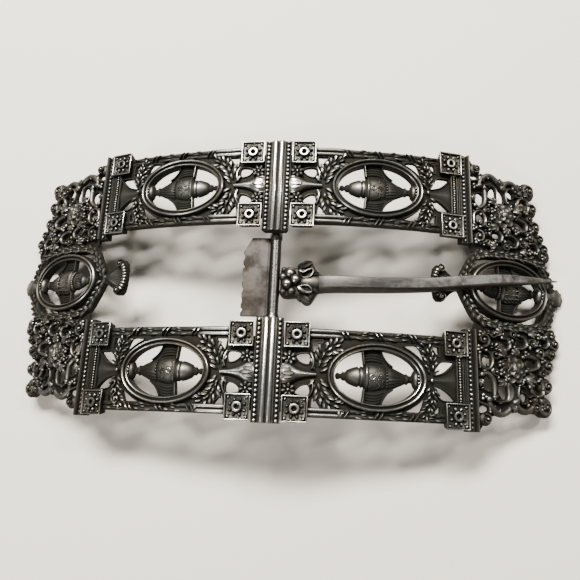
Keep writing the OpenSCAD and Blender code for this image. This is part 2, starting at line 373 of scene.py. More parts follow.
def agedShadedSilver(look):
    material, shader, feed, add = startMaterial(look["name"])
    coords = add("TexCoord", {}).outputs

    def noise(scale, detail):
        inputs = {"Scale": scale, "Detail": detail, "Roughness": 0.6, "Vector": coords["Object"]}
        return add("TexNoise", inputs).outputs["Fac"]

    def spread(source, low, high, toLow=0.0, toHigh=1.0):
        inputs = {"Value": source, "From Min": low, "From Max": high, "To Min": toLow, "To Max": toHigh}
        return add("MapRange", inputs).outputs["Result"]

    def combine(kind, a, b):
        return add("Math", {0: a, 1: b}, operation=kind).outputs[0]

    def split(source):
        return add("SeparateXYZ", {0: source}).outputs

    hollow = add("AmbientOcclusion", {"Distance": look["hollowSize"]}, samples=12, only_local=True)
    wearAndShade = spread(hollow.outputs["AO"], *look["hollowRange"])
    upright = split(coords["Normal"])["Z"]  # painted shade: walls that face sideways are painted darker than the tops, which leaves painted highlight lines along the crests
    wearAndShade = combine("MULTIPLY", wearAndShade, spread(upright, *look["wallRange"], look["wallShadeShare"], 1.0))
    place = split(coords["Object"])
    if look["faceHeight"]:
        centre = (casting["arcRadius"] - casting["crown"]) / 1000
        join = add("CombineXYZ", {"X": place["X"], "Z": combine("ADD", place["Z"], centre)})
        length = add("VectorMath", {0: join.outputs[0]}, operation="LENGTH").outputs["Value"]
        height = combine("SUBTRACT", length, casting["arcRadius"] / 1000)
        low, high = look["faceHeight"]
        wearAndShade = combine("MULTIPLY", wearAndShade, spread(height, low / 1000, high / 1000))
    across = combine("ABSOLUTE", place["X"], 0)
    # painted shade by distance from the middle of the buckle, as each look sets it
    wearAndShade = combine("MULTIPLY", wearAndShade, spread(across, *look["endPlaces"], *look["endShadeShares"]))
    cloudy = spread(noise(look["cloudScale"], 4.0), 0.3, 0.7, 1 - look["cloud"], 1 + 0.3 * look["cloud"])
    wearAndShade = combine("MULTIPLY", wearAndShade, cloudy)

    ramp = add("ValToRGB", {"Fac": wearAndShade})
    stops = ramp.color_ramp.elements
    for i, (position, colour) in enumerate(look["colours"]):
        stop = stops[i] if i < 2 else stops.new(position)
        stop.position = position
        stop.color = (*colour, 1)

    patches = spread(noise(look["cloudScale"] * 0.45, 3.0), 0.45, 0.72, 0, look["tarnishShare"])
    inputs = {"B": (*look["tarnish"], 1), "Factor": patches, "A": ramp.outputs["Color"]}
    feed(shader, "Base Color", add("Mix", inputs, data_type="RGBA", blend_type="MULTIPLY").outputs["Result"])

    dull, bright = look["metallic"]
    feed(shader, "Metallic", dull if dull == bright else spread(wearAndShade, *look["metallicOver"], dull, bright))
    scratch = add("Mapping", {"Scale": look["grain"], "Vector": coords["Object"]})
    fine = add("TexNoise", {"Scale": 1.0, "Detail": 3.0, "Vector": scratch.outputs["Vector"]}).outputs["Fac"]
    uneven = look["unevenGloss"]
    rough = combine("ADD", spread(wearAndShade, 0, 1, *look["roughness"]), spread(fine, 0.3, 0.7, -uneven, uneven))
    feed(shader, "Roughness", rough)
    bump = add("Bump", {"Strength": look["bump"], "Distance": 0.00004, "Height": fine})
    feed(shader, "Normal", bump.outputs["Normal"])
    return material


# pairs run from dark hollows and painted-shade walls to worn tops; colours are the ramp's two ends, then what lies
# between
silver = {
    "metallic": (1.0, 1.0),
    "metallicOver": (0.0, 0.5),
    "faceHeight": None,
    "endPlaces": (0.030, 0.042),
    "endShadeShares": (1.0, 1.0),  # share of the brightness kept in the middle and towards the ends; below one it paints shade
    "tarnish": (0.95, 0.80, 0.66),
    "tarnishShare": 0.6,
    "unevenGloss": 0.05,
}
wornShadedLook = {
    **silver,
    "name": "wornShadedSilver",
    "hollowSize": 0.0009,
    "hollowRange": (0.4, 0.98),
    "wallRange": (0.2, 0.92),
    "wallShadeShare": 0.1,
    "faceHeight": (-1.0, -0.15),
    # painted shade: the ends, which curve away from the lights, are painted darker
    "endShadeShares": (1.0, 0.8),
    "cloudScale": 260.0,
    "cloud": 0.3,
    "colours": [(0.0, (0.028, 0.0275, 0.023)), (0.97, (0.61, 0.59, 0.54)),
                (0.3, (0.042, 0.041, 0.035)), (0.65, (0.125, 0.12, 0.106))],
    "tarnish": (0.88, 0.76, 0.60),
    "tarnishShare": 0.7,
    "grain": (3800, 3800, 3800),
    "roughness": (0.8, 0.2),
    "bump": 0.2,
}
wornShadedSilver = agedShadedSilver(wornShadedLook)
highlitStripSilver = agedShadedSilver({  # the strip, painted brighter than the other castings: painted highlight on its ribs and beads
    **wornShadedLook,
    "name": "highlitStripSilver",
    "wallRange": (0.12, 0.9),
    "colours": [(0.0, (0.045, 0.044, 0.038)), (0.95, (0.88, 0.86, 0.80)),
                (0.3, (0.07, 0.068, 0.060)), (0.65, (0.21, 0.204, 0.184))],
})
smoothSilver = agedShadedSilver({
    **silver,
    "name": "smoothSilver",
    "metallic": (1.0, 0.65),
    "metallicOver": (0.8, 0.98),
    "hollowSize": 0.0014,
    "hollowRange": (0.4, 0.95),
    "wallRange": (0.15, 0.92),
    "wallShadeShare": 0.06,
    "endPlaces": (0.017, 0.034),
    # painted shade: the tongue is painted darker near the bar than towards its tip
    "endShadeShares": (0.82, 1.0),
    "cloudScale": 420.0,
    "cloud": 0.2,
    "colours": [(0.0, (0.024, 0.023, 0.021)), (0.98, (0.4, 0.38, 0.352)),
                (0.33, (0.036, 0.034, 0.032)), (0.6, (0.1, 0.095, 0.089)), (0.81, (0.21, 0.2, 0.186))],
    "tarnish": (0.95, 0.84, 0.80),
    "grain": (350, 2600, 2600),
    "roughness": (0.5, 0.19),
    "unevenGloss": 0.03,
    "bump": 0.1,
})
plateSilver = agedShadedSilver({
    **silver,
    "name": "plateSilver",
    "metallic": (0.9, 1.0),
    "hollowSize": 0.0014,
    "hollowRange": (0.3, 0.9),
    "wallRange": (-0.1, 0.75),
    "wallShadeShare": 0.2,
    "cloudScale": 300.0,
    "cloud": 0.7,
    "colours": [(0.0, (0.014, 0.012, 0.0105)), (0.95, (0.056, 0.052, 0.048)),
                (0.4, (0.022, 0.0195, 0.017)), (0.7, (0.036, 0.033, 0.030))],
    "tarnishShare": 0.8,
    "grain": (1800, 1800, 1800),
    "roughness": (0.6, 0.5),
    "bump": 0.12,
})
leafSilver = agedShadedSilver({
    **silver,
    "name": "leafSilver",
    "hollowSize": 0.0012,
    "hollowRange": (0.45, 0.98),
    "wallRange": (0.2, 0.9),
    "wallShadeShare": 0.05,
    "faceHeight": (-3.0, -1.6),
    "cloudScale": 420.0,
    "cloud": 0.3,
    "colours": [(0.0, (0.034, 0.033, 0.029)), (0.97, (0.72, 0.69, 0.62)),
                (0.35, (0.05, 0.048, 0.043)), (0.7, (0.17, 0.162, 0.145))],
    "grain": (2600, 2600, 2600),
    "roughness": (0.6, 0.2),
    "bump": 0.15,
})
print("materials ready")


# Pieces

def addObject(name, data):
    made = bpy.data.objects.new(name, data)
    bpy.context.scene.collection.objects.link(made)
    return made


def newPiece(name, mesh, body, material, node):
    piece = addObject(name, mesh)
    mesh.materials.append(material)
    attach(piece, body)
    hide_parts(node)
    return piece


def finishPiece(name, bm, body="frame", slot="worn_silver", material=wornShadedSilver, node="frame", bent=True):
    if bent:
        bendOntoArc(bm)
    bmesh.ops.scale(bm, vec=(0.001, 0.001, 0.001), verts=bm.verts[:])
    for face in bm.faces:
        face.smooth = True
    for edge in bm.edges:
        edge.smooth = edge.calc_face_angle(0) < radians(casting["sharpAngle"])
    return newPiece(name, meshOf(name, bm), body, material, node)


def mirrored(bm, acrossX, acrossY):
    bmesh.ops.scale(bm, vec=(-1 if acrossX else 1, -1 if acrossY else 1, 1), verts=bm.verts[:])
    if acrossX != acrossY:
        bmesh.ops.reverse_faces(bm, faces=bm.faces[:])
    return bm


def mirroredPiece(source, name, acrossX, acrossY):
    bm = bmesh.new()
    bm.from_mesh(source.data)
    mesh = meshOf(name, mirrored(bm, acrossX, acrossY))
    return newPiece(name, mesh, "frame", source.data.materials[0], "frame")


# Middle strip: two smooth ribs between rows of beads, with an ear for the pin behind its end

middleStrip = {
    "half": 2.6,
    "top": 0.35,
    "floor": -0.2,  # between the ribs and under the beads
    "beadPlace": 1.95,
    "beadRadius": 0.36,
    "beadPitch": 0.86,
    "ribPlace": 0.6,
    "ribRadius": 0.5,
    "axisBelowCrown": 3.3,
    "pinRadius": 0.62,
    "earRadius": 1.2,
    "earThick": 2.6,
    "earBelowCrown": 1.6,
}
axisHeight = casting["crown"] - middleStrip["axisBelowCrown"]


def stripProfile():
    half, top, low, floor = middleStrip["half"], middleStrip["top"], casting["low"], middleStrip["floor"]
    place, radius = middleStrip["ribPlace"], middleStrip["ribRadius"]
    across = [(half - 0.5, low), (half, -0.5), (half, -0.22), (half - 0.1, -0.1), (half - 0.24, floor),
              (2.2, -0.45), (1.55, -0.45), (1.36, -0.12), (1.2, floor)]
    for i in range(9):
        angle = pi * i / 8
        across.append((place + radius * cos(angle), -0.15 + 0.5 * sin(angle)))
    across.append((0, floor))
    right = [(-s / half / 2, (h - low) / (top - low)) for s, h in across]
    return right + [(-a, b) for a, b in reversed(right[:-1])]


def buildStrip():
    values = middleStrip
    bm = bmesh.new()
    start, end, top = casting["wayHalf"], casting["outerEdge"], values["top"]
    ends = (start, 0.2), (start + 0.25, top), (end - 0.3, top), (end, 0.1)
    sweep(bm, [(0, v, 2 * values["half"], h, casting["low"]) for v, h in ends], stripProfile())
    count = int((end - start - 0.6) / values["beadPitch"]) + 1
    for i in range(count):
        v = start + 0.4 + i * values["beadPitch"]
        pair = [(side * values["beadPlace"], v) for side in (-1, 1)]
        beadRow(bm, pair, values["beadRadius"], values["floor"])
    return bm


def buildEar():
    values = middleStrip
    top = casting["crown"] - values["earBelowCrown"]
    radius = values["earRadius"]
    under = [polar(0, axisHeight, radius, radians(a)) for a in range(180, 361, 15)]
    hole = [polar(0, axisHeight, values["pinRadius"], radians(a)) for a in range(0, 360, 15)]
    inner = casting["wayHalf"] + 0.5
    bm = cutPlate(under + [(radius, top), (-radius, top)], [hole], -inner - values["earThick"], -inner)
    quarterTurn(bm, "X")
    return bm


stripBack = finishPiece("middleStripBack", buildStrip(), material=highlitStripSilver)
mirroredPiece(stripBack, "middleStripFront", False, True)
earBack = finishPiece("pinEarBack", buildEar(), bent=False)
mirroredPiece(earBack, "pinEarFront", False, True)
print("middle strip done")


# Urn that lies in each oval, and the oval itself

oval = {
    "halfLong": 9.3,
    "halfWide": 6.35,
    "width": 1.5,
    "top": 0.14,
    "steps": 60,
}
urn = {  # distance from the lid's tip, radius
    "lid": [
        (0, 0), (0.08, 0.38), (0.35, 0.6), (0.7, 0.62), (0.95, 0.46), (1.1, 0.46), (1.25, 0.72), (1.5, 0.84),
        (1.75, 0.78), (1.9, 0.84), (2.05, 1.08), (2.4, 1.32), (2.9, 1.52), (3.5, 1.74), (4.0, 1.86), (4.2, 1.88),
        (4.3, 1.66), (4.5, 1.66), (4.6, 1.9), (4.8, 1.96), (4.95, 1.9), (5.05, 1.7), (5.2, 1.7), (5.4, 0)],
    "rim": [(5.1, 0), (5.1, 1.9), (5.3, 2.05), (5.42, 2.4), (5.6, 2.66), (5.8, 2.64), (5.9, 2.5), (5.95, 0)],
    "body": [
        (5.7, 0), (5.7, 2.4), (6.0, 2.52), (6.5, 2.6), (7.2, 2.58), (8.0, 2.46), (8.7, 2.28), (9.1, 2.12),
        (9.3, 1.94), (9.6, 1.94), (9.75, 2.1), (10.4, 1.92), (11.1, 1.62), (11.8, 1.34), (12.4, 1.1), (13.0, 0.88),
        (13.2, 0)],
    "foot": [
        (12.9, 0), (12.9, 0.84), (13.1, 0.98), (13.4, 0.98), (13.55, 0.78), (13.8, 0.68), (14.2, 0.7),
        (14.35, 1.15), (14.6, 1.6), (14.9, 1.75), (15.15, 1.65), (15.25, 1.5), (15.35, 1.75), (15.7, 1.85),
        (15.9, 1.7), (15.9, 0)],
    "web": [(5.1, 1.2), (5.1, 5.3), (8.3, 5.3), (8.5, 4.4), (8.95, 3.5), (9.6, 2.7), (10.5, 2.0), (11.6, 1.3),
            (9, 0.8)],
    "lidEnd": 5.2,
    "bodyEnd": 13,
    "webTop": -1.25,
    "webEdge": [(8.35, 4.9), (8.6, 4.2), (9.05, 3.4), (9.7, 2.65), (10.6, 2.0)],
    "flutes": (9.7, 12.9, 18, 0.09),
    "reach": 7.6,
    "height": -1.6,
    "endHeight": -1.25,
    "rise": {"lid": 0.68, "rim": 0.58, "body": 0.46, "foot": 0.74},
    "beadRadius": 0.25,
    # beads round it: distance from the tip, radius and how many
    "beadBands": [(9.45, 2.06, 11), (15.25, 1.78, 9)],
    "leaves": 28,  # on the body of the urns at the ends
    "lidRibs": 14,
    "garland": 10,  # beads from a handle to the middle of the other urns
    "chasing": 55,  # dots in their ground
    "handleReeds": (2.9, 3.4, 3.9, 4.4),
}


def addOval(bm, s, v):
    length, width = (2 * oval[name] - oval["width"] for name in ("halfLong", "halfWide"))
    ring = ellipse(s, v, length, width, 0, oval["steps"])
    sweep(bm, [(*p, oval["width"], oval["top"], casting["low"]) for p in ring], ovalRims, closed=True)


def addUrn(bm, s, v, leafy=False):
    tip, middle = s - urn["reach"], pi / 2
    top = urn["endHeight" if leafy else "height"]
    for part, share in urn["rise"].items():
        turnedForm(bm, urn[part], tip, v, top, 64, rise=share, flutes=urn["flutes"])

    def onUrn(x, radius, angle):
        share = urn["rise"]["lid" if x < urn["lidEnd"] else "body" if x < urn["bodyEnd"] else "foot"]
        return tip + x, v + radius * cos(angle), top + radius * sin(angle) * share

    for x, radius, count in urn["beadBands"]:
        for i in range(count):
            beadAt(bm, *onUrn(x, radius, pi * (i + 0.5) / count), urn["beadRadius"])
    if leafy:
        for i in range(urn["leaves"]):
            x, angle = 6.1 + 0.85 * (i % 4), pi * (0.12 + 0.76 * (i // 4) / 6)
            s0, v0, h0 = onUrn(x, 2.45 - 0.1 * (i % 4), angle)
            leafAt(bm, s0, v0, h0 - 0.06, 0.3 * cos(angle), 1.1, 0.5, 0.32, 0.0)
        for i in range(urn["lidRibs"]):
            angle = pi * (i + 0.5) / urn["lidRibs"]
            turn, tilt = 0.3 * cos(angle), -0.26 * sin(angle)
            leafAt(bm, *onUrn(2.3, 1.26, angle), turn, 1.8, 0.34, 0.3, tilt, petal)
            beadAt(bm, *onUrn(4.75, 1.98, angle), 0.26)
    else:
        for side in (-1, 1):
            for i in range(urn["garland"]):
                t = i / (urn["garland"] - 1)
                place = onUrn(6.7 + 1.35 * sin(pi * t), 2.52, middle + side * (0.22 + 0.85 * t))
                beadAt(bm, *place, 0.16, 0.16, 0.12)
        for i in range(urn["chasing"]):
            x, angle = 6.2 + 0.62 * (i % 5), pi * (0.1 + 0.08 * (i // 5) + 0.04 * (i % 2))
            beadAt(bm, *onUrn(x, 2.5 - 0.06 * (i % 5), angle), 0.2, 0.14, 0.08)
        s0, v0, h0 = onUrn(6.7, 2.55, middle)  # wreath between the garlands, and a flower under it
        ring = ellipse(s0, v0, 0.88, 0.88, 0, 14)
        sweep(bm, [(*p, 0.24, h0 + 0.17, h0 - 0.07) for p in ring], wire, closed=True)
        flower(bm, s0 + 1.35, v0, h0 - 0.1, 0.08, 6, 0, (0.6, 0.3, 0.22), 0)
    low = casting["low"] + 0.7
    for side in (-1, 1):  # handles: a straight edge, and a reeded web that reaches the ring
        arm = [(tip + 5.2, v + side * 2.2, 0.36, -0.3, low), (tip + 4.9, v + side * 4.7, 0.34, -0.2, low)]
        sweep(bm, arm, oneRib)
        pour(cutPlate([(tip + x, v + side * y) for x, y in urn["web"]], [], low, urn["webTop"]), bm)
        for k, across in enumerate(urn["handleReeds"]):
            reed = [(5.2, -0.1, 0.4, -1.05), (6.4, 0.16, 0.44, -0.95), (7.7, 0.1, 0.44, -0.95),
                    (8.9 - 0.22 * k, -0.3, 0.3, -1.1)]
            rows = [(tip + x, v + side * (across + y), width, h, low) for x, y, width, h in reed]
            sweep(bm, rows, oneRib, 3)
        sweep(bm, [(tip + x, v + side * y, 0.34, -0.75, low) for x, y in urn["webEdge"]], oneRib, 3)


# Side panels

sidePanel = {
    "blockPlaces": (5.1, 34.7),
    "blockAcross": 6.6,
    "blockSide": 4.7,
    "blockBorder": 0.24,
    "blockTop": 0.3,
    "blockPit": 0.5,
    "blockLeaves": 8,
    "bossRadius": 0.7,
    "bossThick": 0.52,
    "ovalPlace": 19.8,
    # middle line of the oval and urn behind the belt, and before it
    "panels": [("sidePanelBack", 18.05, 1), ("sidePanelFront", 18.6, -1)],
    "railAcross": 7.05,
    "railWidth": 1.75,
    "railTops": [(7, -0.15), (12, -0.2), (14.5, -0.6), (19, -0.66), (23, -0.68), (27, -0.7), (32.6, -0.7)],
    "railLeaves": [(15.0, 18.8), (21.2, 25.4), (27.4, 31.6)],  # from and to
    "ribbonPlaces": (14.0, 20.2, 26.6),
    # s, distance from the middle line, width and top of the curl beside the bulb, and where its flower is
    "curl": [(7.7, 3.9, 0.36, -0.45), (8.15, 2.8, 0.46, -0.2), (8.2, 1.8, 0.46, -0.2), (7.9, 1.0, 0.36, -0.3)],
    "flower": (3.85, 2.85),
    "beadBandPlace": 37.55,
    "beadBandWidth": 1.5,
    "beadBandCount": 22,
    "beadBandRadius": 0.32,
    "endRibPlace": 38.75,
    "endRibWidth": 0.7,
}


def addBlock(bm, s, v):
    values = sidePanel
    side, border = values["blockSide"], values["blockBorder"]
    low, top = casting["low"], values["blockTop"]
    cube = bmesh.new()
    bmesh.ops.create_cube(cube, size=1, matrix=placeAt(s, v, (top + low) / 2, size=(side, side, top - low)))
    upper = max(cube.faces, key=lambda f: f.calc_center_median().z)
    lower = min(cube.faces, key=lambda f: f.calc_center_median().z)
    bmesh.ops.scale(cube, vec=(0.8, 0.8, 1), space=Matrix.Translation((-s, -v, 0)), verts=lower.verts)
    for thickness, depth in ((border, 0), (0.14, -values["blockPit"])):
        bmesh.ops.inset_individual(cube, faces=[upper], thickness=thickness, depth=depth, use_even_offset=True)
    softenEdges(cube, 0.5, 0.1, 2)
    pour(cube, bm)
    ring = ellipse(s, v, 2 * values["bossRadius"], 2 * values["bossRadius"], 0, 24)
    sweep(bm, [(*p, values["bossThick"], 0.46, -0.5) for p in ring], ribbed(1, 0.82, 4), closed=True)
    for i in range(values["blockLeaves"]):
        turn = (i + 0.5) * tau / values["blockLeaves"]
        length = 0.8 + 0.2 * cos(4 * turn + pi)
        leafAt(bm, *polar(s, v, 0.98, turn), -0.2, turn, length, 0.62, 0.5, -0.05, petal)
        beadAt(bm, *polar(s, v, 1.85, turn + 0.4), -0.22, 0.17, 0.17, 0.22)
    corner = side / 2 - border - 0.42
    for x in (-corner, corner):
        for y in (-corner, corner):
            beadAt(bm, s + x, v + y, -0.15, 0.3, 0.3, 0.34)


def addRail(bm, v, way):
    values = sidePanel
    low = casting["low"] + 0.2
    sweep(bm, [(s, v, values["railWidth"], top, low) for s, top in values["railTops"]], twoRibs)
    for place in values["ribbonPlaces"]:
        for s in (place - 0.5, place + 0.35):  # two turns of ribbon
            band = [(s + 0.55 * way, v - 0.82, 0.26, -0.5, low), (s, v, 0.46, 0.12, low),
                    (s - 0.55 * way, v + 0.82, 0.26, -0.5, low)]
            sweep(bm, band, oneRib, 3)
    for start, end in values["railLeaves"]:
        leafRows(bm, [(start, v), (end, v)], 1.2, 1.7, 0.46, -0.98, 0.08, 0.8, 0.5)


laurel = {  # paths from the panel's middle line outwards: s, distance from the middle line
    "inner": [(8.9, 0.1), (9.3, 2.0), (10.2, 3.9), (11.7, 5.0), (13.3, 5.5)],
    "outer": [(30.1, 0.6), (30.1, 2.6), (29.6, 4.3), (29.0, 5.6), (28.2, 6.4)],
    # leaf length, width, spacing and how far apart
    "innerLeaves": (1.9, 0.66, 0.82, 0.6),
    "outerLeaves": (1.5, 0.54, 0.76, 0.5),
}
panelGround = {
    "low": -1.75,
    "top": -0.95,
    "box": (2.3, 35.3, 6.7),  # from, to and half its width
    "windows": [
        [(7.9, 6.2), (8.9, 6.25), (10.0, 6.2), (9.3, 5.1), (8.3, 4.0), (7.95, 5.0)],
        [(5.0, 3.4), (6.2, 3.85), (7.5, 3.75), (7.75, 2.7), (7.3, 1.8), (6.2, 1.95), (5.3, 2.6)],
        [(24.8, 5.9), (26.2, 6.2), (27.6, 6.1), (28.3, 5.0), (28.9, 2.9), (27.6, 4.1), (26.0, 5.2)],
        [(30.3, 6.2), (31.5, 6.25), (31.7, 5.2), (31.7, 4.4), (30.8, 5.1)],
        [(30.5, 1.0), (31.0, 2.4), (32.0, 3.45), (33.4, 3.65), (34.7, 3.5), (33.8, 2.4), (32.6, 1.5),
         (31.5, 1.1)]],
    "hole": (17.1, 11.0),  # length and width under the oval
}


def addGround(bm, place, middle):  # dark ground with windows, under everything in a side panel
    values = panelGround
    start, end, half = values["box"]
    steps = [start + (end - start) * i / 12 for i in range(13)]
    outline = [(s, middle - half) for s in steps] + [(s, middle + half) for s in reversed(steps)]
    holes = [ellipse(place, middle, *values["hole"], 0, 48)]
    for window in values["windows"]:
        for way in (-1, 1):
            loop = smoothRows([(s, middle + way * v) for s, v in window], 3, closed=True)
            holes.append(loop)
            sweep(bm, [(*p, 0.3, -0.62, -1.5) for p in loop], oneRib, closed=True)
    plate = cutPlate(outline, holes, values["low"], values["top"])
    cutAcross(plate, range(4, 35, 3))
    pour(plate, bm)


def addSideHalf(bm, middle, way):  # way is 1 for the outer half of a panel and -1 for the half by the belt
    values = sidePanel
    panel = casting["panelMiddle"]
    addRail(bm, panel + way * values["railAcross"], way)
    for s in values["blockPlaces"]:
        addBlock(bm, s, panel + way * values["blockAcross"])
    for name in ("inner", "outer"):
        length, width, spacing, reach = laurel[name + "Leaves"]
        rows = smoothRows([(s, middle + way * v) for s, v in laurel[name]], 6)
        leafRows(bm, rows, spacing, length, width, -0.95, 0.7, reach, 0.62)
    sweep(bm, [(s, middle + way * v, width, top, -1.5) for s, v, width, top in values["curl"]], oneRib, 4)
    s, v = values["flower"]
    flower(bm, s, middle + way * v, -0.42, 0.32, 7, 0.3, (1.05, 0.72, 0.46), 0.04)
    beadAt(bm, s, middle + way * v, -0.25, 0.3)


bulb = {  # s, rise and width, then the leaves that clasp it
    "rows": [(2.4, 1.0, 3.4), (3.0, 1.2, 4.1), (3.8, 1.25, 4.2), (4.6, 1.15, 3.4), (5.5, 0.95, 2.3),
             (6.6, 0.75, 1.6), (7.6, 0.55, 1.25), (8.8, 0.4, 1.0)],
    "leaves": 5,
}
pedestal = {
    "rows": [(29.5, 0.9), (30.6, 1.5), (31.6, 1.95), (32.5, 2.6), (33.4, 3.8), (34.3, 5.5), (35.0, 6.8)],
    "keel": [(-0.5, 0), (0.5, 0), (0.5, 0.45), (0.04, 1), (-0.04, 1), (-0.5, 0.45)],
    "top": -0.7,
    "slab": (34.8, 37.4),
    "bandHalf": 4.3,
    "ribs": [(34.95, 0.42, -0.3), (36.15, 0.4, -0.3), (36.6, 0.34, -0.35)],  # s, width and top
    "beads": 17,
}


def addCalyx(bm, middle):
    low = casting["low"] + 0.4
    rows = [(s, middle, width, -0.65 + 0.8 * rise, low) for s, rise, width in bulb["rows"]]
    sweep(bm, rows, ribbed(1, 0.3, 12), 4)
    for i in range(bulb["leaves"]):
        lean = i - (bulb["leaves"] - 1) / 2
        h, length = 0.28 - 0.17 * lean ** 2, 2.5 - 0.25 * abs(lean)
        leafAt(bm, 2.5, middle + 0.86 * lean, h, -0.2 * lean, length, 0.98, 0.4, 0.04, clasp)


def addPedestal(bm, middle):
    low, half, top = casting["low"] + 0.35, pedestal["bandHalf"], pedestal["top"]
    start, end = casting["panelMiddle"] - half, casting["panelMiddle"] + half
    sweep(bm, [(s, middle, width, top, low) for s, width in pedestal["rows"]], pedestal["keel"], 4)
    beadAt(bm, 29.9, middle, -0.3, 0.35, 0.42, 0.4)
    slabStart, slabEnd = ((s, casting["panelMiddle"]) for s in pedestal["slab"])
    bar(bm, slabStart, slabEnd, 2 * half, top, low, slab)
    for s, width, top in pedestal["ribs"]:
        bar(bm, (s, start), (s, end), width, top, -1.4)
    beadRow(bm, [(35.5, start + 0.2 + 0.5 * i) for i in range(pedestal["beads"])], 0.26, -0.4)


def buildSidePanel(middle):
    values = sidePanel
    bm = bmesh.new()
    addGround(bm, values["ovalPlace"], middle)
    addOval(bm, values["ovalPlace"], middle)
    addUrn(bm, values["ovalPlace"], middle)
    addCalyx(bm, middle)
    addPedestal(bm, middle)
    for way in (-1, 1):
        addSideHalf(bm, middle, way)
    start, end = casting["wayHalf"] + 0.05, casting["outerEdge"] - 0.1
    place, rib = values["beadBandPlace"], values["endRibPlace"]
    bar(bm, (place, start), (place, end), values["beadBandWidth"], -0.45, casting["low"], slab)
    places = [(place, start + 0.4 + 0.84 * i) for i in range(values["beadBandCount"])]
    beadRow(bm, places, values["beadBandRadius"], -0.25)
    bar(bm, (rib, start), (rib, end), values["endRibWidth"], 0.2, casting["low"])
    return bm


for name, middle, way in sidePanel["panels"]:
    panel = buildSidePanel(middle)
    right = finishPiece(name + "Right", mirrored(panel, False, way < 0))
    mirroredPiece(right, name + "Left", True, False)
print("side panels done")


# Corner plates: pierced ground, rosette, thick scrolls, swirling lobes, leaves and berries

